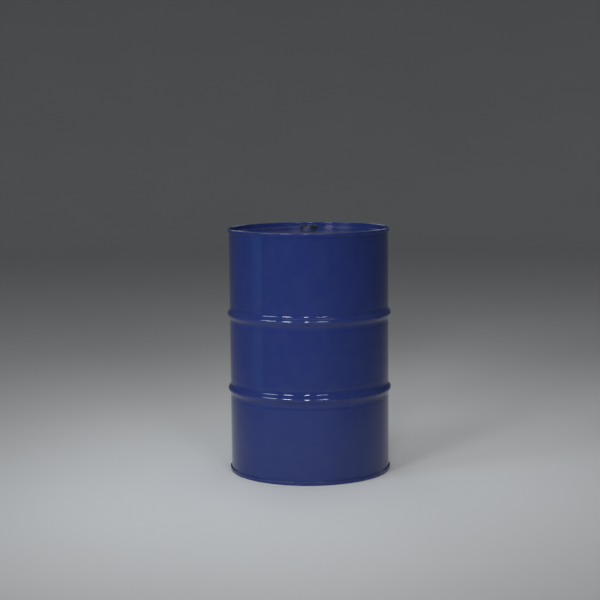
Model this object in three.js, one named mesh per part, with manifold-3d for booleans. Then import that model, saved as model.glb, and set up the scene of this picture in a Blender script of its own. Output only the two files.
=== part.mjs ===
// A closed-head steel drum of about 208 litres (55 US gallons).
//
// A rolled and welded body with two rolling hoops is closed by a pressed head at
// each end. Each head is double-seamed to the body: the head's edge wraps over the
// body's flange, and the two hooks interlock around a ring of sealing compound. The
// top head has two drawn collars, and a threaded flange is crimped over each one
// from inside. A threaded plug with a gasket closes each flange.
//
// Units are millimetres. +Z is up, and the origin is at the centre of the base.
// The large bung is on the +Y side and the small one on the -Y side.

import * as THREE from "three";
import { mergeVertices } from "three/addons/utils/BufferGeometryUtils.js";
import Module from "manifold-3d";

const wasm = await Module();
wasm.setup();

// ---- Driving dimensions ----

const HEIGHT = 880;
const BODY_RADIUS = 287; // outside of the plain body
const SHEET = 1.2; // thickness of the body and of both heads
const GAP = 0.3; // clearance between pieces that touch on the real drum

const SEAM_HEIGHT = 14; // of the chime that the double seam makes
const HEAD_RECESS = 20; // from the chime's end down to the head's panel
const HEAD_FILLET = 4; // between the panel and its wall, on the sheet's middle
const CHIME_CORNER = 1.6; // the head's bend over the chime, on the sheet's middle
const FLANGE_CORNER = 1; // the body's bend inside the chime, on the sheet's middle
const HEAD_HOOK_DEPTH = 5.5; // how near to the chime's end the head's hook comes
const BODY_HOOK_DEPTH = 10; // how far from the chime's end the body's hook goes

const HOOP_HEIGHTS = [301.5, 573]; // of the two rolling hoops' crests
const HOOP_RISE = 8.5; // of a crest above the plain body
const HOOP_WIDTH = 42;
const HOOP_STEPS = 6;

const BUNG_OFFSET = 213; // from the drum's axis to each bung's axis
const COLLAR_HEIGHT = 6; // of the head's drawn collars above the panel
const COLLAR_BEND = 2; // at a collar's foot, on the sheet's middle
const COLLAR_FOOT = 5; // from a collar to the edge of its foot
const CROWN_SHEET = 1.6; // of a flange's crimped crown
const CROWN_LIP = 2.2; // how far the crown turns down outside the collar
const FLANGE_BASE = 2.5; // thickness of a flange's octagonal base
const GASKET = 1.6; // thickness of every gasket
const PLUG_HEAD = 2; // thickness of a plug's rim
const PLUG_SKIRT = 15.5; // depth of a plug's threaded skirt under its rim
const PLUG_FLOOR = 2; // thickness of a plug's floor
const PLUG_EDGE = 0.7; // chamfer on a plug's edges
const LUG_DROP = 3; // from a plug's top down to its wrench lugs

// Thread radii are those of the pitch line, less or more a small clearance.
const LARGE_BUNG = {
  label: "large",
  y: BUNG_OFFSET,
  skirt: 28.8,
  bore: 29.3,
  neck: 32,
  baseFlats: 82,
  gasketWidth: 6,
  rim: 34,
  cup: 25.5,
  lug: { reach: 9, width: 10 },
  segments: 32,
};
const SMALL_BUNG = {
  label: "small",
  y: -BUNG_OFFSET,
  skirt: 12.4,
  bore: 12.9,
  neck: 15.2,
  baseFlats: 46,
  gasketWidth: 5,
  rim: 17.8,
  cup: 10,
  lug: { reach: 4, width: 4.5 },
  segments: 24,
};

const ROUND_SEGMENTS = 40; // of the large round pieces
const BEND_STEPS = 2; // in a quarter turn of sheet
const CUT_MARGIN = 1; // how far a cutting solid passes what it cuts

// ---- Helpers ----

// Points on an arc in the radius and height plane. Angles are in degrees from +radius.
function arc(centreRadius, centreHeight, radius, from, to) {
  const steps = Math.max(1, Math.round((BEND_STEPS * Math.abs(to - from)) / 90));
  const points = [];
  for (let step = 0; step <= steps; step++) {
    const angle = THREE.MathUtils.degToRad(from + ((to - from) * step) / steps);
    const along = radius * Math.cos(angle);
    const up = radius * Math.sin(angle);
    points.push(new THREE.Vector2(centreRadius + along, centreHeight + up));
  }
  return points;
}

// The closed outline of a sheet whose middle follows the given open path.
function sheetOutline(path, thickness) {
  const left = [];
  const right = [];
  path.forEach((point, index) => {
    const before = path[Math.max(index - 1, 0)];
    const after = path[Math.min(index + 1, path.length - 1)];
    const into = point.clone().sub(before).normalize();
    const out = after.clone().sub(point).normalize();
    const along = into.clone().add(out).normalize();
    const turn = Math.max(into.dot(along), out.dot(along));
    const reach = thickness / 2 / turn;
    const across = new THREE.Vector2(-along.y, along.x).multiplyScalar(reach);
    left.push(point.clone().add(across));
    right.push(point.clone().sub(across));
  });
  return [...left, ...right.reverse(), left[0].clone()];
}

// The same outline for the other end of the drum: depths become heights.
function atEnd(outline, isTop) {
  return outline.map(({ x, y }) => new THREE.Vector2(x, isTop ? HEIGHT - y : y));
}

function outlineArea(outline) {
  let area = 0;
  outline.forEach((point, index) => {
    const next = outline[(index + 1) % outline.length];
    area += (point.x * next.y - next.x * point.y) / 2;
  });
  return area;
}

// A solid of revolution about Z, from an outline of (radius, height) points that
// closes on itself or starts and ends on the axis.
function revolve(outline, segments = ROUND_SEGMENTS) {
  const ordered = outlineArea(outline) > 0 ? outline : [...outline].reverse();
  const geometry = new THREE.LatheGeometry(ordered, segments);
  geometry.rotateX(Math.PI / 2);
  return geometry;
}

function ring(inner, outer, low, high, segments = ROUND_SEGMENTS) {
  const corners = [[inner, low], [outer, low], [outer, high], [inner, high], [inner, low]];
  return revolve(corners.map(([radius, height]) => new THREE.Vector2(radius, height)), segments);
}

// A closed geometry as a manifold solid, without the flat triangles on a lathe's axis.
function toSolid(geometry) {
  const plain = geometry.clone();
  plain.deleteAttribute("normal");
  plain.deleteAttribute("uv");
  const merged = mergeVertices(plain);
  const corners = merged.index.array;
  const triangles = [];
  for (let start = 0; start < corners.length; start += 3) {
    const [a, b, c] = corners.slice(start, start + 3);
    if (a !== b && b !== c && c !== a) {
      triangles.push(a, b, c);
    }
  }
  return new wasm.Manifold(
    new wasm.Mesh({
      numProp: 3,
      vertProperties: new Float32Array(merged.attributes.position.array),
      triVerts: new Uint32Array(triangles),
    }),
  );
}

function toGeometry(solid) {
  const mesh = solid.getMesh();
  const geometry = new THREE.BufferGeometry();
  const positions = new THREE.BufferAttribute(mesh.vertProperties, 3);
  geometry.setAttribute("position", positions);
  geometry.setIndex(new THREE.BufferAttribute(mesh.triVerts, 1));
  geometry.computeVertexNormals();
  return geometry;
}

// ---- Materials ----

function enamel() {
  return new THREE.MeshStandardMaterial({ color: 0x25367a, roughness: 0.25, metalness: 0.1 });
}

function darkSteel() {
  return new THREE.MeshStandardMaterial({ color: 0x26282c, roughness: 0.4, metalness: 0.6 });
}

function zincSteel() {
  return new THREE.MeshStandardMaterial({ color: 0x9fa3a6, roughness: 0.4, metalness: 0.9 });
}

function blackRubber() {
  return new THREE.MeshStandardMaterial({ color: 0x171717, roughness: 0.8, metalness: 0 });
}

function sealingCompound() {
  return new THREE.MeshStandardMaterial({ color: 0x7a6a4a, roughness: 0.7, metalness: 0 });
}

function piece(name, geometry, material) {
  const mesh = new THREE.Mesh(geometry, material);
  mesh.name = name;
  return mesh;
}

// ---- The double seam ----
// The seam's five layers, from inside out: the head's wall, the body, the head's
// hook, the body's hook and the head's outer skirt. Depth is measured from the
// chime's end into the drum.

const LAYER = SHEET + GAP;
const BODY_MIDDLE = BODY_RADIUS - SHEET / 2;
const HEAD_WALL_MIDDLE = BODY_MIDDLE - LAYER;
const HEAD_HOOK_MIDDLE = BODY_MIDDLE + LAYER;
const BODY_HOOK_MIDDLE = BODY_MIDDLE + 2 * LAYER;
const SKIRT_MIDDLE = BODY_MIDDLE + 3 * LAYER;

function headPath() {
  const panelDepth = HEAD_RECESS + SHEET / 2;
  const crownDepth = SHEET / 2 + CHIME_CORNER;
  const curlRadius = (SKIRT_MIDDLE - HEAD_HOOK_MIDDLE) / 2;
  const curlDepth = SEAM_HEIGHT - SHEET / 2 - curlRadius;
  return [
    new THREE.Vector2(0, panelDepth),
    ...arc(HEAD_WALL_MIDDLE - HEAD_FILLET, panelDepth - HEAD_FILLET, HEAD_FILLET, 90, 0),
    ...arc(HEAD_WALL_MIDDLE + CHIME_CORNER, crownDepth, CHIME_CORNER, 180, 270),
    ...arc(SKIRT_MIDDLE - CHIME_CORNER, crownDepth, CHIME_CORNER, 270, 360),
    ...arc(SKIRT_MIDDLE - curlRadius, curlDepth, curlRadius, 0, 180),
    new THREE.Vector2(HEAD_HOOK_MIDDLE, HEAD_HOOK_DEPTH),
  ];
}

// The body's end, from its hook round to the wall.
function bodyEndPath() {
  const turnDepth = SHEET + GAP + SHEET / 2 + FLANGE_CORNER;
  return [
    new THREE.Vector2(BODY_HOOK_MIDDLE, BODY_HOOK_DEPTH),
    ...arc(BODY_HOOK_MIDDLE - FLANGE_CORNER, turnDepth, FLANGE_CORNER, 360, 270),
    ...arc(BODY_MIDDLE + FLANGE_CORNER, turnDepth, FLANGE_CORNER, 270, 180),
  ];
}

// ---- Body and heads ----

function hoopPath(crestHeight) {
  const points = [];
  for (let step = 0; step <= HOOP_STEPS; step++) {
    const across = step / HOOP_STEPS - 0.5;
    const rise = (HOOP_RISE * (1 + Math.cos(2 * Math.PI * across))) / 2;
    points.push(new THREE.Vector2(BODY_MIDDLE + rise, crestHeight + HOOP_WIDTH * across));
  }
  return points;
}

function bodyShell() {
  const path = [
    ...atEnd(bodyEndPath(), false),
    ...HOOP_HEIGHTS.flatMap(hoopPath),
    ...atEnd(bodyEndPath(), true).reverse(),
  ];
  return revolve(sheetOutline(path, SHEET));
}

// A head's outline starts and ends on the axis, where its panel is.
function headOutline(isTop) {
  const outline = sheetOutline(headPath(), SHEET);
  return atEnd(outline.slice(0, -1), isTop);
}

// The drawn collar in the top head that a bung's flange is crimped over.
function collar(bung) {
  const middle = bung.neck + GAP + SHEET / 2;
  const path = [
    new THREE.Vector2(middle + COLLAR_FOOT, -SHEET / 2),
    ...arc(middle + COLLAR_BEND, COLLAR_BEND - SHEET / 2, COLLAR_BEND, 270, 180),
    new THREE.Vector2(middle, COLLAR_HEIGHT),
  ];
  const shape = revolve(sheetOutline(path, SHEET), bung.segments);
  return toSolid(shape.translate(0, bung.y, PANEL_TOP));
}

function collarHole(bung) {
  const radius = bung.neck + GAP + SHEET / 2 + COLLAR_FOOT - CUT_MARGIN;
  const low = -SHEET - CUT_MARGIN;
  const corners = [[0, low], [radius, low], [radius, CUT_MARGIN], [0, CUT_MARGIN]];
  const outline = corners.map(([across, height]) => new THREE.Vector2(across, height));
  return toSolid(revolve(outline, bung.segments).translate(0, bung.y, PANEL_TOP));
}

const PANEL_TOP = HEIGHT - HEAD_RECESS;

function topHead() {
  let head = toSolid(revolve(headOutline(true)));
  for (const bung of [LARGE_BUNG, SMALL_BUNG]) {
    head = head.subtract(collarHole(bung)).add(collar(bung));
  }
  return toGeometry(head);
}

function seamCompound(isTop) {
  const inner = HEAD_HOOK_MIDDLE - SHEET / 2;
  const near = 2 * SHEET + 2 * GAP + FLANGE_CORNER / 2;
  const far = HEAD_HOOK_DEPTH - GAP;
  const heights = isTop ? [HEIGHT - far, HEIGHT - near] : [near, far];
  return ring(inner, inner + SHEET, ...heights);
}

// ---- Closures ----
// Heights are measured from the top of the head's panel.

const GASKET_TOP = -SHEET - GAP; // of the gasket between the head and a flange
const BASE_TOP = GASKET_TOP - GASKET - GAP;
const CROWN_LOW = COLLAR_HEIGHT + GAP;
const CROWN_TOP = CROWN_LOW + CROWN_SHEET;
const SEAL_LOW = CROWN_TOP + GAP; // of the gasket under a plug's rim
const RIM_LOW = SEAL_LOW + GASKET + GAP;
const RIM_TOP = RIM_LOW + PLUG_HEAD;

function octagon(acrossFlats) {
  const radius = acrossFlats / 2 / Math.cos(Math.PI / 8);
  const shape = new THREE.Shape();
  for (let corner = 0; corner < 8; corner++) {
    const angle = Math.PI / 8 + (corner * Math.PI) / 4;
    const [x, y] = [radius * Math.cos(angle), radius * Math.sin(angle)];
    corner === 0 ? shape.moveTo(x, y) : shape.lineTo(x, y);
  }
  shape.closePath();
  return shape;
}

function flange(bung) {
  const low = BASE_TOP - FLANGE_BASE;
  const lipInner = bung.neck + SHEET + 2 * GAP;
  const lipOuter = lipInner + CROWN_SHEET;
  const corners = [
    [bung.bore, low],
    [bung.neck, low],
    [bung.neck, CROWN_LOW],
    [lipInner, CROWN_LOW],
    [lipInner, CROWN_LOW - CROWN_LIP],
    [lipOuter, CROWN_LOW - CROWN_LIP],
    [lipOuter, CROWN_TOP - PLUG_EDGE],
    [lipOuter - PLUG_EDGE, CROWN_TOP],
    [bung.bore, CROWN_TOP],
    [bung.bore, low],
  ];
  const outline = corners.map(([radius, height]) => new THREE.Vector2(radius, height));
  const neck = toSolid(revolve(outline, bung.segments));
  const plate = new THREE.ExtrudeGeometry(octagon(bung.baseFlats), {
    depth: FLANGE_BASE,
    bevelEnabled: false,
  });
  plate.translate(0, 0, low);
  const hole = ring(0, (bung.bore + bung.neck) / 2, low - CUT_MARGIN, BASE_TOP + CUT_MARGIN, bung.segments);
  return toGeometry(toSolid(plate).subtract(toSolid(hole)).add(neck));
}

function flangeGasket(bung) {
  const inner = bung.neck + GAP;
  return ring(inner, inner + bung.gasketWidth, GASKET_TOP - GASKET, GASKET_TOP, bung.segments);
}

// A cup whose skirt is threaded, with two wrench lugs inside.
function plug(bung) {
  const low = RIM_LOW - PLUG_SKIRT;
  const floor = low + PLUG_FLOOR;
  const corners = [
    [0, low],
    [bung.skirt - PLUG_EDGE, low],
    [bung.skirt, low + PLUG_EDGE],
    [bung.skirt, RIM_LOW],
    [bung.rim, RIM_LOW],
    [bung.rim, RIM_TOP - PLUG_EDGE],
    [bung.rim - PLUG_EDGE, RIM_TOP],
    [bung.cup + PLUG_EDGE, RIM_TOP],
    [bung.cup, RIM_TOP - PLUG_EDGE],
    [bung.cup, floor],
    [0, floor],
  ];
  const outline = corners.map(([radius, height]) => new THREE.Vector2(radius, height));
  let cup = toSolid(revolve(outline, bung.segments));
  for (const side of [-1, 1]) {
    const lugHeight = RIM_TOP - LUG_DROP - floor + PLUG_FLOOR / 2;
    const lugLength = bung.lug.reach + CUT_MARGIN;
    const lug = new THREE.BoxGeometry(lugLength, bung.lug.width, lugHeight);
    const middle = bung.cup - bung.lug.reach + lugLength / 2;
    lug.translate(side * middle, 0, floor - PLUG_FLOOR / 2 + lugHeight / 2);
    cup = cup.add(toSolid(lug));
  }
  return toGeometry(cup);
}

function plugGasket(bung) {
  return ring(bung.skirt + GAP, bung.rim - GAP, SEAL_LOW, SEAL_LOW + GASKET, bung.segments);
}

function closure(bung) {
  const group = new THREE.Group();
  group.position.set(0, bung.y, PANEL_TOP);
  group.add(
    piece(`${bung.label}_bung_flange`, flange(bung), zincSteel()),
    piece(`${bung.label}_bung_flange_gasket`, flangeGasket(bung), blackRubber()),
    piece(`${bung.label}_bung_plug`, plug(bung), darkSteel()),
    piece(`${bung.label}_bung_plug_gasket`, plugGasket(bung), blackRubber()),
  );
  return group;
}

// ---- Assembly ----

const drum = new THREE.Group();
drum.add(
  piece("body_shell", bodyShell(), enamel()),
  piece("top_head", topHead(), enamel()),
  piece("bottom_head", revolve(headOutline(false)), enamel()),
  piece("top_seam_compound", seamCompound(true), sealingCompound()),
  piece("bottom_seam_compound", seamCompound(false), sealingCompound()),
  closure(LARGE_BUNG),
  closure(SMALL_BUNG),
);

export default drum;
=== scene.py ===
# A closed-head steel drum of 208 litres in glossy dark blue enamel, on a pale studio floor.
#
# The drum's lengths are millimetres, and every mesh is scaled to metres as it is made.
# Outlines are lists of (radius, height) pairs. +Z is up, and the large bung is on the +Y side.

import math

import bmesh
import bpy
from mathutils import Matrix, Vector, noise
from mathutils.geometry import delaunay_2d_cdt


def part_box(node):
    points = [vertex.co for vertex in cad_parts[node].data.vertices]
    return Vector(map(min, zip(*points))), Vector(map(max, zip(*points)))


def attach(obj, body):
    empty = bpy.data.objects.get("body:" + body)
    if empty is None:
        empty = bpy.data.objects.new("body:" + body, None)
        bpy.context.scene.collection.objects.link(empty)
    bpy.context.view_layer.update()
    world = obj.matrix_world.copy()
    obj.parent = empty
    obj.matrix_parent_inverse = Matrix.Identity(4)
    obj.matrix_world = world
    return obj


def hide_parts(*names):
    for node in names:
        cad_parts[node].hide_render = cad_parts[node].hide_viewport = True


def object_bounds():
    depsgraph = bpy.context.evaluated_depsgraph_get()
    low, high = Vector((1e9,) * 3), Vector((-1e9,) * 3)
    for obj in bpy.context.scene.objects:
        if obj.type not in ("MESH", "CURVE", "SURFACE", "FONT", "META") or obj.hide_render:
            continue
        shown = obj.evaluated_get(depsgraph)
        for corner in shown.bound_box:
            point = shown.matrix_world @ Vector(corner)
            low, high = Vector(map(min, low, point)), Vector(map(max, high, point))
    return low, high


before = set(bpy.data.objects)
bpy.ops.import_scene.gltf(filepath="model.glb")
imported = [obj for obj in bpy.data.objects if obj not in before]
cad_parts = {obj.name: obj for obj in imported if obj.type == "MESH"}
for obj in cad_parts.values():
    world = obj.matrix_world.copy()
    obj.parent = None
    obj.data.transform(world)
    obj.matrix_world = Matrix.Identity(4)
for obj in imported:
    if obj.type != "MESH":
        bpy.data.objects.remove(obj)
cad_low, cad_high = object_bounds()

MM = 0.001

# ---- Sizes ----

SHEET = 1.2  # thickness of the body and of both heads
GAP = 0.3  # clearance between pieces that touch
LAYER = SHEET + GAP  # from one layer of the seam to the next


def node_box(node):
    """A CAD node's lowest and highest corner, in millimetres."""
    low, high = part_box(node)
    return Vector(low) / MM, Vector(high) / MM


HEIGHT = cad_high[2] / MM
CHIME_RADIUS = node_box("top_head")[1].x
BODY_RADIUS = CHIME_RADIUS - 3 * LAYER
BODY_MIDDLE = BODY_RADIUS - SHEET / 2
HEAD_WALL_MIDDLE = BODY_MIDDLE - LAYER
HEAD_HOOK_MIDDLE = BODY_MIDDLE + LAYER
BODY_HOOK_MIDDLE = BODY_MIDDLE + 2 * LAYER
SKIRT_MIDDLE = BODY_MIDDLE + 3 * LAYER

SEAM_HEIGHT = 14
CHIME_BEND = (SKIRT_MIDDLE - HEAD_WALL_MIDDLE) / 2  # the head's half-round over the chime
FLANGE_BEND = (BODY_HOOK_MIDDLE - BODY_MIDDLE) / 2  # the body's half-round inside it
HEAD_HOOK_DEPTH = 5.5
BODY_HOOK_DEPTH = 10
HEAD_FILLET = 4

PANEL_TOP = node_box("large_bung_flange_gasket")[1].z + LAYER
HEAD_RECESS = HEIGHT - PANEL_TOP

HOOP_HEIGHTS = (301.5, 573)
HOOP_RISE = 8.5
HOOP_WIDTH = 42
HOOP_STEPS = 28
NECK_WIDTH = 16  # above and below a hoop, where forming it has drawn the sheet in
NECK_DEPTH = 0.4
NECK_STEPS = 10

PLATE_RADIUS = 256  # the flat part of the top head, which holds the bungs
MOAT_DEPTH = 1.6  # of the stiffening groove round the edge of a head
MOAT_INNER = 259
MOAT_OUTER = 276
MOAT_STEPS = 14
BOTTOM_STEP_RADIUS = 215  # the bottom head's middle is pressed inwards
BOTTOM_STEP_WIDTH = 14
BOTTOM_STEP_RISE = 4
BOTTOM_STEP_STEPS = 12

ROUND_STEPS = 192  # round the drum
BEND_STEPS = 8  # in a quarter turn of sheet
WALL_STEP = 14  # between rings on the plain body

COLLAR_BEND = 2.4
COLLAR_FOOT = 3.2
COLLAR_HEIGHT = 6
FLAT_MARGIN = 1.5  # of small faces beside a bend, which keeps the flat's shading flat
NECK_WALL = 2.15  # of a flange outside its thread


class Bung:
    """The sizes of one threaded closure, from its CAD nodes and its pipe thread."""

    def __init__(self, label, pitch, pitch_radius, thread_depth, base_flats, steps):
        self.label = label
        low, high = node_box(f"{label}_bung_plug")
        self.y = (low.y + high.y) / 2
        self.plug_low = low.z
        self.plug_top = high.z
        self.rim = (high.x - low.x) / 2
        seal_low, seal_high = node_box(f"{label}_bung_plug_gasket")
        self.seal = (seal_low.z, seal_high.z)
        self.rim_low = seal_high.z + GAP
        flange_low, flange_high = node_box(f"{label}_bung_flange")
        self.flange_low = flange_low.z
        self.crown_top = flange_high.z
        gasket_low, gasket_high = node_box(f"{label}_bung_flange_gasket")
        self.gasket = (gasket_low.z, gasket_high.z)
        self.gasket_outer = gasket_high.x
        self.pitch = pitch
        self.pitch_radius = pitch_radius
        self.thread_depth = thread_depth
        self.base_flats = base_flats
        self.steps = steps
        self.neck = pitch_radius + thread_depth / 2 + NECK_WALL


LARGE = Bung("large", 2.309, 29.07, 1.479, 82, 128)
SMALL = Bung("small", 1.814, 12.64, 1.162, 46, 96)
BUNGS = (LARGE, SMALL)

# ---- Outlines ----


def arc(centre_radius, centre_height, radius, start, end, quarter_steps=BEND_STEPS):
    """Points on an arc. Angles are in degrees from the direction of increasing radius."""
    steps = max(1, round(quarter_steps * abs(end - start) / 90))
    points = []
    for step in range(steps + 1):
        angle = math.radians(start + (end - start) * step / steps)
        across = centre_radius + radius * math.cos(angle)
        points.append((across, centre_height + radius * math.sin(angle)))
    return points


def sheet_outline(path, thickness=SHEET):
    """Both sides of a sheet whose middle follows a path: out along one and back along the other."""
    points = [Vector(point) for point in path]
    left, right = [], []
    for index, point in enumerate(points):
        before = points[max(index - 1, 0)]
        after = points[min(index + 1, len(points) - 1)]
        into = (point - before).normalized()
        out = (after - point).normalized()
        along = (into + out).normalized()
        reach = thickness / 2 / max(into.dot(along), out.dot(along))
        across = Vector((-along.y, along.x)) * reach
        left.append(tuple(point + across))
        right.append(tuple(point - across))
    return left + right[::-1]


def at_top(outline):
    """Depths from the drum's top end, as heights."""
    return [(radius, HEIGHT - depth) for radius, depth in outline]


def smooth_step(value, low, high):
    """0 below low, 1 above high, and an eased rise between them."""
    share = min(max((value - low) / (high - low), 0), 1)
    return share * share * (3 - 2 * share)


# ---- Meshes ----

SAME_POINT = 0.002  # the distance within which two points are one
SHARP_ANGLE = math.radians(35)  # between faces, above which their edge isn't smoothed
LEVEL = 0.7  # the height of a face's normal, above which the face counts as level


def add_turned(bm, outline, angles, centre=(0, 0), closed=False):
    """Adds an outline turned about a vertical axis. A radius may be a function of the angle."""
    rings = []
    for radius, height in outline:
        if radius == 0:
            rings.append([bm.verts.new((centre[0] * MM, centre[1] * MM, height * MM))])
            continue
        ring = []
        for angle in angles:
            reach = radius(angle) if callable(radius) else radius
            x = centre[0] + reach * math.cos(angle)
            y = centre[1] + reach * math.sin(angle)
            ring.append(bm.verts.new((x * MM, y * MM, height * MM)))
        rings.append(ring)
    following = rings[1:] + ([rings[0]] if closed else [])
    for first, second in zip(rings, following):
        for step in range(len(angles)):
            bridge(bm, first, second, step, (step + 1) % len(angles))


def bridge(bm, first, second, step, after):
    """One face between two rings, either of which may be a single point."""
    if len(first) == 1:
        bm.faces.new((first[0], second[after], second[step]))
    elif len(second) == 1:
        bm.faces.new((first[step], first[after], second[0]))
    else:
        bm.faces.new((first[step], first[after], second[after], second[step]))


def even_angles(steps):
    return [2 * math.pi * step / steps for step in range(steps)]


def finished(name, bm, body, nodes, slot, *materials):
    """Closes a piece's mesh, shades it, and hands it to the frame."""
    bmesh.ops.remove_doubles(bm, verts=bm.verts, dist=SAME_POINT * MM)
    bmesh.ops.recalc_face_normals(bm, faces=bm.faces)
    mesh = bpy.data.meshes.new(name)
    bm.to_mesh(mesh)
    bm.free()
    mesh.shade_smooth()
    mesh.set_sharp_from_angle(angle=SHARP_ANGLE)
    for material in materials:
        mesh.materials.append(material)
    piece = bpy.data.objects.new(name, mesh)
    bpy.context.scene.collection.objects.link(piece)
    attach(piece, body)
    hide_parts(*nodes)
    return piece


def line_inside(piece, faces_inwards):
    """Gives the faces on the drum's inside the piece's second material."""
    for face in piece.data.polygons:
        if faces_inwards(face):
            face.material_index = 1


# ---- Materials ----


class Nodes:
    """A short way to build a node material round one Principled shader."""

    def __init__(self, name):
        self.material = bpy.data.materials.new(name)
        self.material.use_nodes = True
        self.tree = self.material.node_tree
        self.shader = self.tree.nodes["Principled BSDF"]
        self.place = self.add("ShaderNodeTexCoord").outputs["Object"]

    def add(self, kind, **settings):
        node = self.tree.nodes.new(kind)
        for name, value in settings.items():
            setattr(node, name, value)
        return node

    def link(self, source, target):
        if hasattr(source, "is_linked"):
            self.tree.links.new(source, target)
        else:
            target.default_value = source

    def noise(self, size_mm, detail=3.0, roughness=0.5, stretch=(1, 1, 1)):
        """Noise from 0 to 1, whose features are about size_mm across."""
        mapping = self.add("ShaderNodeMapping")
        mapping.inputs["Scale"].default_value = stretch
        self.link(self.place, mapping.inputs["Vector"])
        texture = self.add("ShaderNodeTexNoise")
        self.link(mapping.outputs["Vector"], texture.inputs["Vector"])
        texture.inputs["Scale"].default_value = 1 / (size_mm * MM)
        texture.inputs["Detail"].default_value = detail
        texture.inputs["Roughness"].default_value = roughness
        return texture.outputs["Fac"]

    def math(self, operation, first, second=0.0, third=0.0, clamp=False):
        node = self.add("ShaderNodeMath", operation=operation, use_clamp=clamp)
        for socket, value in zip(node.inputs, (first, second, third)):
            self.link(value, socket)
        return node.outputs["Value"]

    def span(self, value, low, high, to_low=0.0, to_high=1.0):
        """The value's place between low and high, eased, from to_low to to_high."""
        node = self.add("ShaderNodeMapRange", interpolation_type="SMOOTHSTEP")
        for name, number in zip(
            ("Value", "From Min", "From Max", "To Min", "To Max"),
            (value, low, high, to_low, to_high),
        ):
            self.link(number, node.inputs[name])
        return node.outputs["Result"]

    def mix(self, share, first, second):
        """A colour between two colours."""
        node = self.add("ShaderNodeMix", data_type="RGBA")
        self.link(share, node.inputs["Factor"])
        for socket, colour in ((node.inputs[6], first), (node.inputs[7], second)):
            self.link((*colour, 1) if isinstance(colour, tuple) else colour, socket)
        return node.outputs[2]

    def bump(self, height, depth_mm, under=None):
        """A normal for relief of the given depth, on top of another normal if one is given."""
        node = self.add("ShaderNodeBump")
        node.inputs["Distance"].default_value = depth_mm * MM
        self.link(height, node.inputs["Height"])
        if under is not None:
            self.link(under, node.inputs["Normal"])
        return node.outputs["Normal"]

    def radius_and_height(self):
        """Distance from the drum's axis and height above its base, in metres."""
        split = self.add("ShaderNodeSeparateXYZ")
        self.link(self.place, split.inputs["Vector"])
        across = self.math("POWER", split.outputs["X"], 2.0)
        along = self.math("POWER", split.outputs["Y"], 2.0)
        radius = self.math("SQRT", self.math("ADD", across, along))
        return radius, split.outputs["Z"]

    def upwards(self):
        """How far the surface faces up, from -1 to 1."""
        split = self.add("ShaderNodeSeparateXYZ")
        self.link(self.add("ShaderNodeNewGeometry").outputs["Normal"], split.inputs["Vector"])
        return split.outputs["Z"]

    def finish(self, colour, roughness, normal=None, metallic=0.0, specular=0.5):
        self.link(colour, self.shader.inputs["Base Color"])
        self.link(roughness, self.shader.inputs["Roughness"])
        if normal is not None:
            self.link(normal, self.shader.inputs["Normal"])
        self.shader.inputs["Metallic"].default_value = metallic
        self.shader.inputs["Specular IOR Level"].default_value = specular
        return self.material


def hoop_rub(nodes, radius):
    """Where the drum has rolled on its hoops' crests, broken up into short scuffs."""
    crest = (BODY_RADIUS + HOOP_RISE) * MM
    near = nodes.span(radius, crest - 1.6 * MM, crest - 0.2 * MM)
    scuffs = nodes.span(nodes.noise(9, 5.0, 0.65, (1, 1, 6)), 0.5, 0.72)
    return nodes.math("MULTIPLY", near, scuffs)


def chime_rub(nodes, height):
    """Where the chimes' ends have stood and been stacked."""
    foot = nodes.span(height, 2.2 * MM, 0.4 * MM)
    rim = nodes.span(height, (HEIGHT - 1.2) * MM, (HEIGHT - 0.1) * MM, 0.0, 0.5)
    scuffs = nodes.span(nodes.noise(7, 5.0, 0.7), 0.44, 0.7)
    return nodes.math("MULTIPLY", nodes.math("MAXIMUM", foot, rim), scuffs)


def enamel():
    """Baked enamel on sheet steel: glossy, with orange peel, faint dust and rubbed edges."""
    nodes = Nodes("dark_blue_enamel")
    radius, height = nodes.radius_and_height()
    tone = nodes.noise(140, 4.0)
    paint = nodes.mix(tone, (0.0115, 0.0220, 0.106), (0.0145, 0.0260, 0.124))
    specks = nodes.span(nodes.noise(1.6, 2.0), 0.70, 0.78, 0.0, 0.25)
    paint = nodes.mix(specks, paint, (0.045, 0.06, 0.20))
    dust_patches = nodes.span(nodes.noise(38, 6.0, 0.62), 0.36, 0.74)
    facing_up = nodes.span(nodes.upwards(), 0.4, 1.0, 0.03, 0.12)
    dust = nodes.math("MULTIPLY", dust_patches, facing_up)
    paint = nodes.mix(dust, paint, (0.17, 0.165, 0.155))
    rub = nodes.math("MAXIMUM", hoop_rub(nodes, radius), chime_rub(nodes, height))
    paint = nodes.mix(nodes.math("MULTIPLY", rub, 0.5), paint, (0.09, 0.11, 0.19))
    haze = nodes.noise(60, 5.0, 0.6)
    roughness = nodes.span(haze, 0.3, 0.75, 0.06, 0.12)
    dulling = nodes.span(nodes.upwards(), 0.6, 1.0, 0.0, 0.03)
    roughness = nodes.math("ADD", roughness, dulling)
    roughness = nodes.math("MULTIPLY_ADD", rub, 0.35, roughness, clamp=True)
    sag = nodes.bump(nodes.noise(26, 2.0), 0.08)
    peel = nodes.bump(nodes.noise(2.4, 2.0, 0.45), 0.006, under=sag)
    return nodes.finish(paint, roughness, peel, specular=0.42)


def lining():
    """The bare phosphated steel of the inside."""
    nodes = Nodes("phosphated_steel")
    tone = nodes.noise(30, 6.0, 0.65)
    colour = nodes.mix(tone, (0.10, 0.10, 0.095), (0.17, 0.165, 0.15))
    roughness = nodes.span(nodes.noise(12, 4.0), 0.3, 0.7, 0.38, 0.55)
    rolled = nodes.bump(nodes.noise(3, 3.0, 0.5, (1, 1, 0.1)), 0.01)
    return nodes.finish(colour, roughness, rolled, metallic=0.7)


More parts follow.
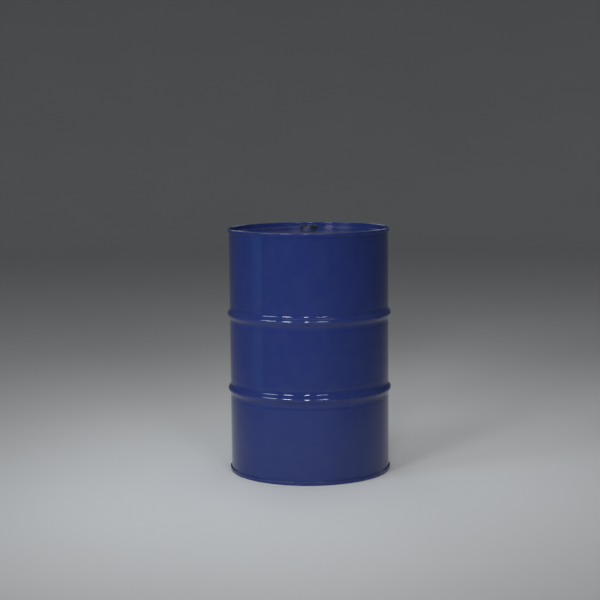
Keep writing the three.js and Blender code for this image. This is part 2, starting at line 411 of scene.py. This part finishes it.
def zinc_plate():
    """Zinc-plated pressed steel, with its bright mottling and fine turning marks."""
    nodes = Nodes("zinc_plated_steel")
    tone = nodes.noise(7, 5.0, 0.6)
    colour = nodes.mix(tone, (0.40, 0.41, 0.41), (0.60, 0.60, 0.58))
    stain = nodes.span(nodes.noise(11, 6.0, 0.7), 0.55, 0.8, 0.0, 0.4)
    colour = nodes.mix(stain, colour, (0.33, 0.30, 0.22))
    roughness = nodes.span(nodes.noise(3, 4.0), 0.3, 0.7, 0.24, 0.42)
    marks = nodes.bump(nodes.noise(0.8, 3.0, 0.6, (1, 1, 5)), 0.015)
    return nodes.finish(colour, roughness, marks, metallic=0.95)


def dark_lacquer():
    """Pressed steel in a dark lacquer that has worn to metal on its edges."""
    nodes = Nodes("dark_lacquered_steel")
    tone = nodes.noise(9, 4.0, 0.6)
    colour = nodes.mix(tone, (0.012, 0.014, 0.020), (0.022, 0.025, 0.034))
    worn = nodes.span(nodes.noise(2.6, 6.0, 0.72), 0.66, 0.74, 0.0, 0.55)
    colour = nodes.mix(worn, colour, (0.13, 0.13, 0.13))
    roughness = nodes.span(nodes.noise(5, 4.0), 0.3, 0.7, 0.2, 0.36)
    grain = nodes.bump(nodes.noise(1.2, 3.0), 0.012)
    return nodes.finish(colour, roughness, grain, metallic=0.35)


def rubber(name, dark, light):
    """Moulded rubber or cured compound: matt, finely grained, a little dusty."""
    nodes = Nodes(name)
    colour = nodes.mix(nodes.noise(4, 5.0, 0.65), dark, light)
    roughness = nodes.span(nodes.noise(2, 3.0), 0.3, 0.7, 0.55, 0.75)
    grain = nodes.bump(nodes.noise(0.5, 3.0), 0.02)
    return nodes.finish(colour, roughness, grain)


def floor_finish():
    """A pale, matt studio floor."""
    nodes = Nodes("pale_floor")
    colour = nodes.mix(nodes.noise(900, 4.0), (0.64, 0.635, 0.625), (0.69, 0.685, 0.675))
    roughness = nodes.span(nodes.noise(300, 5.0), 0.3, 0.7, 0.7, 0.8)
    return nodes.finish(colour, roughness, specular=0.2)


# ---- The double seam ----
# Depths are measured from the chime's end into the drum.


def head_edge_path(panel_radius):
    """The middle of a head's sheet, from its panel over the chime to its hook."""
    panel_depth = HEAD_RECESS + SHEET / 2
    bend_depth = SHEET / 2 + CHIME_BEND
    curl = (SKIRT_MIDDLE - HEAD_HOOK_MIDDLE) / 2
    curl_depth = SEAM_HEIGHT - SHEET / 2 - curl
    moat = []
    for step in range(MOAT_STEPS + 1):
        across = step / MOAT_STEPS
        depth = panel_depth + MOAT_DEPTH * (1 - math.cos(2 * math.pi * across)) / 2
        moat.append((MOAT_INNER + (MOAT_OUTER - MOAT_INNER) * across, depth))
    return [
        (panel_radius, panel_depth),
        (panel_radius + FLAT_MARGIN, panel_depth),
        *moat,
        *arc(HEAD_WALL_MIDDLE - HEAD_FILLET, panel_depth - HEAD_FILLET, HEAD_FILLET, 90, 0),
        (HEAD_WALL_MIDDLE, panel_depth - HEAD_FILLET - FLAT_MARGIN),
        (HEAD_WALL_MIDDLE, bend_depth + FLAT_MARGIN),
        *arc(HEAD_WALL_MIDDLE + CHIME_BEND, bend_depth, CHIME_BEND, 180, 360),
        *arc(SKIRT_MIDDLE - curl, curl_depth, curl, 0, 180),
        (HEAD_HOOK_MIDDLE, HEAD_HOOK_DEPTH),
    ]


def body_end_path():
    """The middle of the body's sheet, from its hook round to its wall."""
    bend_depth = SHEET + GAP + SHEET / 2 + FLANGE_BEND
    return [
        (BODY_HOOK_MIDDLE, BODY_HOOK_DEPTH),
        *arc(BODY_MIDDLE + FLANGE_BEND, bend_depth, FLANGE_BEND, 360, 180),
    ]


# ---- The body ----

SEAM_ANGLE = math.radians(62)  # where the body's side weld is, behind and to the right
WELD_HALF_WIDTH = 2.6
WELD_RISE = 0.35
WELD_ROWS = 5  # of points on either side of the weld's middle
WELD_STEP = WELD_HALF_WIDTH / 4  # between those rows
WAVE = 0.22  # how far the plain body strays from round
WAVE_HEIGHT = 260  # up the body, which counts as one radius round it
WAVE_DENSITY = 1.7  # waves to that length
SEAM_CLEAR = 4  # from a seam to where the plain body starts
SEAM_FADE = 60  # from a seam to where the body is at its waviest


def neck_path(foot, width):
    """The dip beside a hoop, from its foot away from the crest, without its two ends."""
    path = []
    for step in range(1, NECK_STEPS):
        across = step / NECK_STEPS
        dip = NECK_DEPTH * math.sin(math.pi * across) ** 2
        path.append((BODY_MIDDLE - dip, foot + width * across))
    return path


def hoop_path(crest):
    """A rolling hoop and the necks below and above it."""
    hoop = []
    for step in range(HOOP_STEPS + 1):
        across = step / HOOP_STEPS - 0.5
        rise = HOOP_RISE * (1 + math.cos(2 * math.pi * across)) / 2
        hoop.append((BODY_MIDDLE + rise, crest + HOOP_WIDTH * across))
    below = neck_path(crest - HOOP_WIDTH / 2, -NECK_WIDTH)[::-1]
    return below + hoop + neck_path(crest + HOOP_WIDTH / 2, NECK_WIDTH)


def wall_path(low, high):
    """Rings on the plain body between two heights, without the two end ones."""
    steps = max(2, round((high - low) / WALL_STEP))
    heights = [low + (high - low) * step / steps for step in range(1, steps)]
    return [(BODY_MIDDLE, height) for height in heights]


def body_path():
    lower, upper = HOOP_HEIGHTS
    seam_end = SEAM_HEIGHT + 2
    half = HOOP_WIDTH / 2 + NECK_WIDTH
    return [
        *body_end_path(),
        (BODY_MIDDLE, seam_end),
        *wall_path(seam_end, lower - half),
        (BODY_MIDDLE, lower - half),
        *hoop_path(lower),
        (BODY_MIDDLE, lower + half),
        *wall_path(lower + half, upper - half),
        (BODY_MIDDLE, upper - half),
        *hoop_path(upper),
        (BODY_MIDDLE, upper + half),
        *wall_path(upper + half, HEIGHT - seam_end),
        (BODY_MIDDLE, HEIGHT - seam_end),
        *at_top(body_end_path())[::-1],
    ]


def plainness(height):
    """1 on the plain body, and 0 at the seams and on the hoops."""
    from_end = min(height, HEIGHT - height)
    share = smooth_step(from_end, SEAM_HEIGHT + SEAM_CLEAR, SEAM_HEIGHT + SEAM_FADE)
    for crest in HOOP_HEIGHTS:
        share *= smooth_step(abs(height - crest), HOOP_WIDTH * 0.4, HOOP_WIDTH)
    return share


def body_radius(radius, height):
    """A radius that follows the sheet's slight waves and its side weld.

    The weld is proud outside only, and stays off the hoops' crests, the drum's widest points.
    """
    wave = WAVE * plainness(height)
    from_end = min(height, HEIGHT - height)
    between_seams = smooth_step(from_end, SEAM_HEIGHT + 1, SEAM_HEIGHT + SEAM_CLEAR)
    has_weld = BODY_MIDDLE < radius < BODY_RADIUS + HOOP_RISE * 0.9
    weld_rise = WELD_RISE * between_seams if has_weld else 0

    def at(angle):
        place = Vector((math.cos(angle), math.sin(angle), height / WAVE_HEIGHT)) * WAVE_DENSITY
        off_weld = abs(math.remainder(angle - SEAM_ANGLE, 2 * math.pi)) * BODY_RADIUS
        on_weld = 1 - smooth_step(off_weld, WELD_HALF_WIDTH * 0.6, WELD_HALF_WIDTH)
        return radius + wave * noise.noise(place) + weld_rise * on_weld

    return at


def body_shell():
    outline = [
        (body_radius(radius, height), height)
        for radius, height in sheet_outline(body_path())
    ]
    weld_angles = [
        SEAM_ANGLE + row * WELD_STEP / BODY_RADIUS for row in range(-WELD_ROWS, WELD_ROWS + 1)
    ]
    apart = (WELD_ROWS + 1) * WELD_STEP / BODY_RADIUS
    plain_angles = [
        angle for angle in even_angles(ROUND_STEPS) if abs(angle - SEAM_ANGLE) > apart
    ]
    bm = bmesh.new()
    add_turned(bm, outline, sorted(plain_angles + weld_angles), closed=True)
    piece = finished("drum_body", bm, "drum", ["body_shell"], "enamel", ENAMEL, LINING)
    line_inside(piece, faces_axis)


def faces_axis(face):
    """Whether a face of the body is on its inside, between the heads."""
    across = Vector((face.center.x, face.center.y, 0))
    inside = across.length < (BODY_RADIUS + HOOP_RISE) * MM
    above_seam = min(face.center.z, HEIGHT * MM - face.center.z) > HEAD_RECESS * MM
    return inside and above_seam and face.normal.dot(across) < 0


# ---- The heads ----


def circle(radius, steps, centre_y=0.0):
    return [
        Vector((radius * math.cos(angle), centre_y + radius * math.sin(angle)))
        for angle in even_angles(steps)
    ]


def foot_radius(bung):
    """Where the collar round a bung meets the head's flat."""
    return bung.neck + GAP + SHEET / 2 + COLLAR_FOOT


def off_bungs(point, margin=0.0):
    """Whether a point on the top head is outside both collars by more than a margin."""
    return all(
        (point - Vector((0, bung.y))).length > foot_radius(bung) + margin for bung in BUNGS
    )


def open_points(spacing=16):
    """Points in staggered rows on the top head's flat, clear of its edge and of the collars."""
    reach = int(PLATE_RADIUS // spacing)
    points = []
    for column in range(-reach, reach + 1):
        for row in range(-reach, reach + 1):
            point = Vector(((column + 0.5 * (row % 2)) * spacing, row * spacing))
            if point.length < PLATE_RADIUS - spacing / 2 and off_bungs(point, spacing / 2):
                points.append(point)
    return points


def plate_triangles():
    """The flat of the top head with a hole at each bung, as points and triangles."""
    loops = [circle(PLATE_RADIUS, ROUND_STEPS), circle(PLATE_RADIUS - FLAT_MARGIN, ROUND_STEPS)]
    for bung in BUNGS:
        for margin in (0, FLAT_MARGIN, 3 * FLAT_MARGIN):
            loops.append(circle(foot_radius(bung) + margin, bung.steps, bung.y))
    edges = []
    start = 0
    for loop in loops:
        count = len(loop)
        edges += [(start + step, start + (step + 1) % count) for step in range(count)]
        start += count
    points = [point for loop in loops for point in loop] + open_points()
    tolerance = 1e-4
    corners, _, faces, *_ = delaunay_2d_cdt(points, edges, [], 0, tolerance)

    def on_metal(face):
        return off_bungs(sum((corners[corner] for corner in face), Vector((0, 0))) / 3)

    return corners, [face for face in faces if on_metal(face)]


def collar_path(bung):
    """The middle of the head's sheet, from the flat up into the collar."""
    middle = bung.neck + GAP + SHEET / 2
    return [
        (middle + COLLAR_FOOT, PANEL_TOP - SHEET / 2),
        *arc(middle + COLLAR_BEND, PANEL_TOP + COLLAR_BEND - SHEET / 2, COLLAR_BEND, 270, 180),
        (middle, PANEL_TOP + COLLAR_HEIGHT),
    ]


def top_head():
    bm = bmesh.new()
    edge = at_top(sheet_outline(head_edge_path(PLATE_RADIUS)))
    add_turned(bm, edge, even_angles(ROUND_STEPS))
    corners, faces = plate_triangles()
    for height in (PANEL_TOP, PANEL_TOP - SHEET):
        made = [bm.verts.new((corner.x * MM, corner.y * MM, height * MM)) for corner in corners]
        for face in faces:
            bm.faces.new([made[corner] for corner in face])
    for bung in BUNGS:
        add_turned(bm, sheet_outline(collar_path(bung)), even_angles(bung.steps), (0, bung.y))
    loose = [vert for vert in bm.verts if not vert.link_faces]
    bmesh.ops.delete(bm, geom=loose, context="VERTS")
    piece = finished("drum_top_head", bm, "drum", ["top_head"], "enamel", ENAMEL, LINING)
    line_inside(piece, lambda face: face.normal.z < -LEVEL and under_panel(face))


def under_panel(face):
    """Whether a face is at the height of the underside of the top head's panel."""
    low = (PANEL_TOP - SHEET - MOAT_DEPTH - GAP) * MM
    return low < face.center.z < (PANEL_TOP - SHEET / 2) * MM


def bottom_head():
    depth = HEAD_RECESS + SHEET / 2
    middle = [(0, depth + BOTTOM_STEP_RISE)]
    for step in range(BOTTOM_STEP_STEPS + 1):
        across = step / BOTTOM_STEP_STEPS
        rise = BOTTOM_STEP_RISE * (1 - smooth_step(across, 0, 1))
        middle.append((BOTTOM_STEP_RADIUS + BOTTOM_STEP_WIDTH * across, depth + rise))
    path = middle + head_edge_path(PLATE_RADIUS)
    bm = bmesh.new()
    add_turned(bm, on_axis(sheet_outline(path)), even_angles(ROUND_STEPS))
    piece = finished("drum_bottom_head", bm, "drum", ["bottom_head"], "enamel", ENAMEL, LINING)
    line_inside(piece, lambda face: face.normal.z > LEVEL and face.center.z > HEAD_RECESS * MM)


def on_axis(outline):
    """The same outline with its two ends exactly on the axis."""
    first, *rest, last = outline
    return [(0, first[1]), *rest, (0, last[1])]


def seam_compound(label, low, high):
    """A bead of compound between the two hooks of a seam."""
    inner = HEAD_HOOK_MIDDLE - SHEET / 2
    outer = inner + SHEET
    corner = 0.35
    bm = bmesh.new()
    outline = rounded_box(inner, outer, low, high, corner)
    add_turned(bm, outline, even_angles(ROUND_STEPS), closed=True)
    finished(f"{label}_seam_bead", bm, "drum", [f"{label}_seam_compound"], "seam_compound", COMPOUND)


def rounded_box(inner, outer, low, high, corner, steps=4):
    """The outline of a ring with rounded corners."""
    return [
        *arc(outer - corner, low + corner, corner, 270, 360, steps),
        *arc(outer - corner, high - corner, corner, 0, 90, steps),
        *arc(inner + corner, high - corner, corner, 90, 180, steps),
        *arc(inner + corner, low + corner, corner, 180, 270, steps),
    ]


# ---- The closures ----

THREAD_CLEARANCE = 0.15  # of each thread from the pitch line's wave
THREAD_RUNOUT = 0.6  # turns, over which a thread fades out at each end
RINGS_PER_TURN = 12
CROWN_SHEET = 1.6
CROWN_LIP = 2.2  # how far the crown hangs down round the collar
FLANGE_BASE = 2.5
PLUG_FLOOR = 2
LUG_DROP = 3  # of a plug's lugs below its rim
SEAL_CLEARANCE = 0.1  # of a plug's washer from its thread


def thread_ring(bung, height, inside, share):
    """A ring on a right-hand thread. Inside is the flange's, and share fades the ridges out."""
    minor = bung.pitch_radius - bung.thread_depth / 2
    major = bung.pitch_radius + bung.thread_depth / 2

    def at(angle):
        turns = (height - PANEL_TOP) / bung.pitch - angle / (2 * math.pi)
        ridge = (1 + math.cos(2 * math.pi * turns)) / 2
        if inside:
            return major + THREAD_CLEARANCE - (1 - ridge) * bung.thread_depth * share
        return minor - THREAD_CLEARANCE + ridge * bung.thread_depth * share

    return at


def thread_rings(bung, low, high, inside):
    """Rings from low to high on a thread that fades out at both ends."""
    steps = round((high - low) / bung.pitch * RINGS_PER_TURN)
    rings = []
    for step in range(steps + 1):
        height = low + (high - low) * step / steps
        from_end = min(height - low, high - height)
        share = smooth_step(from_end, 0, bung.pitch * THREAD_RUNOUT)
        rings.append((thread_ring(bung, height, inside, share), height))
    return rings


def octagon_radius(flats, corner_share=0.94):
    """The edge of an octagon whose corners are cut back to a circle."""
    apothem = flats / 2
    circle_radius = apothem / math.cos(math.pi / 8) * corner_share ** 0.5

    def at(angle):
        turn = math.remainder(angle, math.pi / 4)
        return min(apothem / math.cos(turn), circle_radius)

    return at


def shrunk(radius, by):
    """A radius that is a function of the angle, made smaller."""
    return lambda angle: radius(angle) - by


def flange(bung):
    """Octagonal base, threaded neck, and a crown rolled over the head's collar."""
    low = bung.flange_low
    base_top = low + FLANGE_BASE
    crown_low = PANEL_TOP + COLLAR_HEIGHT + GAP
    lip_inner = bung.neck + SHEET + 2 * GAP
    lip_outer = lip_inner + CROWN_SHEET
    top = bung.crown_top
    edge = octagon_radius(bung.base_flats)
    chamfer = 0.5
    fillet = 1
    crown_bend = 0.6
    corner = 0.4
    lip_end = CROWN_SHEET / 2
    roll = 1.3
    outline = [
        *thread_rings(bung, low, top, inside=True)[::-1],
        (shrunk(edge, chamfer), low),
        (edge, low + chamfer),
        (edge, base_top - chamfer),
        (shrunk(edge, chamfer), base_top),
        *arc(bung.neck + fillet, base_top + fillet, fillet, 270, 180, 4),
        (bung.neck, crown_low - crown_bend),
        *arc(bung.neck + crown_bend, crown_low - crown_bend, crown_bend, 180, 90, 3),
        *arc(lip_inner - corner, crown_low - corner, corner, 90, 0, 3),
        *arc(lip_inner + lip_end, crown_low - CROWN_LIP + lip_end, lip_end, 180, 360, 5),
        *arc(lip_outer - roll, top - roll, roll, 0, 90, 6),
        *arc(bung.pitch_radius + bung.thread_depth, top - corner, corner, 90, 150, 4),
    ]
    bm = bmesh.new()
    add_turned(bm, outline, even_angles(bung.steps), (0, bung.y), closed=True)
    piece = finished(
        f"{bung.label}_flange", bm, "drum", [f"{bung.label}_bung_flange"], "flange_steel", ZINC, LACQUER
    )
    crown_inner = (bung.neck - 1) * MM
    for face in piece.data.polygons:
        away = math.hypot(face.center.x, face.center.y - bung.y * MM)
        if face.center.z > PANEL_TOP * MM and away > crown_inner:
            face.material_index = 1


def washer(name, bung, inner, outer, heights, body, node):
    """A moulded rubber ring, centred on a bung."""
    low, high = heights
    corner = 0.6
    bm = bmesh.new()
    outline = rounded_box(inner, outer, low, high, corner, 5)
    add_turned(bm, outline, even_angles(bung.steps), (0, bung.y), closed=True)
    finished(f"{bung.label}_{name}", bm, body, [node], "gasket_rubber", RUBBER)


def lug_ring(cup, reach, half_width):
    """The inside of a plug's cup, with a wrench lug on either side."""
    front = cup - reach
    lug_angle = math.atan(half_width / front)

    def at(angle):
        turn = math.remainder(angle, math.pi)
        return front / math.cos(turn) if abs(turn) < lug_angle else cup

    return at


def plug(bung, cup, reach, half_width):
    """A pressed cup with a rim, a threaded skirt and two wrench lugs."""
    low, top, rim, rim_low = bung.plug_low, bung.plug_top, bung.rim, bung.rim_low
    floor = low + PLUG_FLOOR
    lug_top = top - LUG_DROP
    skirt = bung.pitch_radius - bung.thread_depth / 2 - THREAD_CLEARANCE
    lugs = lug_ring(cup, reach, half_width)
    fillet = 0.8
    dimple = 0.6  # in the middle of the plug's underside
    foot = 1.2
    neck = 0.4
    rim_under, rim_over, rim_inside = 0.6, 0.9, 1.6
    lug_edge = 0.5
    thread_low, thread_high = low + foot, rim_low - 2 * neck
    outline = [
        (0, low + dimple),
        (cup * 0.55, low + dimple),
        (cup * 0.62, low),
        *arc(skirt - foot, low + foot, foot, 270, 350, 5),
        *thread_rings(bung, thread_low, thread_high, inside=False),
        *arc(skirt + neck, rim_low - neck, neck, 180, 90, 3),
        *arc(rim - rim_under, rim_low + rim_under, rim_under, 270, 360, 4),
        *arc(rim - rim_over, top - rim_over, rim_over, 0, 90, 6),
        *arc(cup + rim_inside, top - rim_inside, rim_inside, 90, 180, 7),
        (cup, lug_top + lug_edge),
        (shrunk(lugs, -0.02), lug_top),
        (lugs, lug_top - lug_edge),
        (lugs, floor + fillet),
        *[(shrunk(lugs, fillet - across), height) for across, height in corner_drop(floor, fillet)],
        (cup * 0.3, floor),
        (0, floor),
    ]
    bm = bmesh.new()
    add_turned(bm, outline, even_angles(bung.steps), (0, bung.y))
    body = f"{bung.label}_plug"
    finished(body + "_cup", bm, body, [f"{bung.label}_bung_plug"], "plug_steel", LACQUER)


def corner_drop(floor, fillet):
    """Points round the fillet where the cup meets its floor."""
    return arc(0, floor + fillet, fillet, 0, -90, 4)[1:]


def closures():
    """Both bungs: a flange and its washer on the head, and a plug and its washer that screw out."""
    for bung in BUNGS:
        flange(bung)
        node = f"{bung.label}_bung_flange_gasket"
        washer("flange_washer", bung, bung.neck + GAP, bung.gasket_outer, bung.gasket, "drum", node)
        inner = bung.pitch_radius + bung.thread_depth / 2 + SEAL_CLEARANCE
        node = f"{bung.label}_bung_plug_gasket"
        seal_body = f"{bung.label}_seal"
        washer("plug_washer", bung, inner, bung.rim - GAP, bung.seal, seal_body, node)
    plug(LARGE, cup=25.5, reach=9, half_width=5)
    plug(SMALL, cup=10, reach=4, half_width=2.25)


# ---- The set ----
# Its lengths are metres.

FLOOR_RADIUS = 9  # of the level part
BOWL_RADIUS = 5
COOL = (0.92, 0.96, 1.0)  # the windows' tint
WINDOW_SPREAD = 50  # degrees
DRUM_MIDDLE = HEIGHT * MM / 2


def floor():
    """A pale floor that curves up into a wall all round, so that it shows no horizon."""
    bm = bmesh.new()
    curve = arc(FLOOR_RADIUS / MM, BOWL_RADIUS / MM, BOWL_RADIUS / MM, -90, 0, quarter_steps=24)
    outline = [(0, 0), (FLOOR_RADIUS / MM / 2, 0), *curve]
    add_turned(bm, outline, even_angles(ROUND_STEPS // 2))
    mesh = bpy.data.meshes.new("studio_floor")
    bm.to_mesh(mesh)
    bm.free()
    mesh.shade_smooth()
    mesh.materials.append(floor_finish())
    ground = bpy.data.objects.new("studio_floor", mesh)
    bpy.context.scene.collection.objects.link(ground)


def area_light(name, width, depth, radiance, spread=180, colour=(1, 1, 1)):
    """A panel of light. Spread is the angle of its beam in degrees, as with a grid in front of it.

    Radiance is how bright the panel looks from straight ahead, whatever its size and spread.
    """
    panel = bpy.data.lights.new(name, "AREA")
    panel.shape = "RECTANGLE"
    panel.size = width
    panel.size_y = depth
    panel.spread = math.radians(spread)
    half = panel.spread / 2
    focus = math.tan(half) / (math.tan(half) - half)
    panel.energy = radiance * math.pi * width * depth / focus
    panel.color = colour
    lamp = bpy.data.objects.new(name, panel)
    lamp.visible_camera = False
    bpy.context.scene.collection.objects.link(lamp)
    return lamp


def window(name, azimuth, distance, height, size, radiance, colour=COOL):
    """A panel that faces the drum's middle. Azimuth 0 is in front, and 90 to the right."""
    turn = math.radians(azimuth)
    lamp = area_light(name, *size, radiance, WINDOW_SPREAD, colour)
    lamp.location = (distance * math.sin(turn), -distance * math.cos(turn), height)
    drop = math.atan2(height - DRUM_MIDDLE, distance)
    lamp.rotation_euler = (math.pi / 2 - drop, 0, turn)


def ceiling(name, place, size, radiance):
    """A square panel of light that faces down."""
    area_light(name, size, size, radiance).location = place


def lights():
    """Four windows in front and one dim blue one at the left, two panels behind, and one above."""
    window("left_glow", -73, 1.6, 0.4, (0.45, 0.8), 0.4, (0.2, 0.7, 1.0))
    window("left_bank", -58, 3.2, 1.65, (1.3, 0.6), 18.0, (0.75, 0.88, 1.0))
    window("left_window", -31, 4.0, 1.8, (0.9, 0.6), 46.0)
    window("front_window", -4, 5.0, 1.95, (0.55, 0.5), 84.0)
    window("right_window", 18, 4.0, 1.8, (1.0, 0.35), 42.0)
    window("back_left", -158, 4.2, 3.0, (3.0, 1.8), 2.4)
    window("back_right", 156, 4.2, 3.0, (3.0, 1.8), 1.9)
    ceiling("overhead", (0, -0.5, 4.6), 5.0, 0.8)


def surroundings():
    """A dim, cool light from all round, and a plain view transform that keeps the blue deep."""
    world = bpy.data.worlds.new("studio")
    bpy.context.scene.world = world
    world.use_nodes = True
    background = world.node_tree.nodes["Background"]
    background.inputs["Color"].default_value = (0.80, 0.84, 0.90, 1)
    background.inputs["Strength"].default_value = 0.12
    bpy.context.scene.view_settings.view_transform = "Standard"


EYE = (0, -5.326, 1.2637)
FOCAL_LENGTH = 88.96  # millimetres
YAW, PITCH, ROLL = 0.0061, 0.1209, -0.0092  # radians, with the pitch downwards


def camera():
    """A viewpoint a little above the drum's top, about five metres in front of it."""
    lens = bpy.data.cameras.new("view")
    lens.lens = FOCAL_LENGTH
    lens.clip_start = 0.1
    lens.clip_end = 100
    viewer = bpy.data.objects.new("view", lens)
    turn = Matrix.Rotation(YAW, 4, "Z") @ Matrix.Rotation(math.pi / 2 - PITCH, 4, "X")
    viewer.matrix_world = Matrix.Translation(EYE) @ turn @ Matrix.Rotation(ROLL, 4, "Z")
    bpy.context.scene.collection.objects.link(viewer)
    bpy.context.scene.camera = viewer


# ---- Making it ----

ENAMEL = enamel()
LINING = lining()
ZINC = zinc_plate()
LACQUER = dark_lacquer()
RUBBER = rubber("black_rubber", (0.010, 0.010, 0.010), (0.026, 0.025, 0.024))
COMPOUND = rubber("sealing_compound", (0.16, 0.12, 0.065), (0.24, 0.19, 0.11))

camera()
body_shell()
top_head()
bottom_head()
for end in ("top", "bottom"):
    end_low, end_high = node_box(f"{end}_seam_compound")
    seam_compound(end, end_low.z, end_high.z)
closures()
floor()
lights()
surroundings()
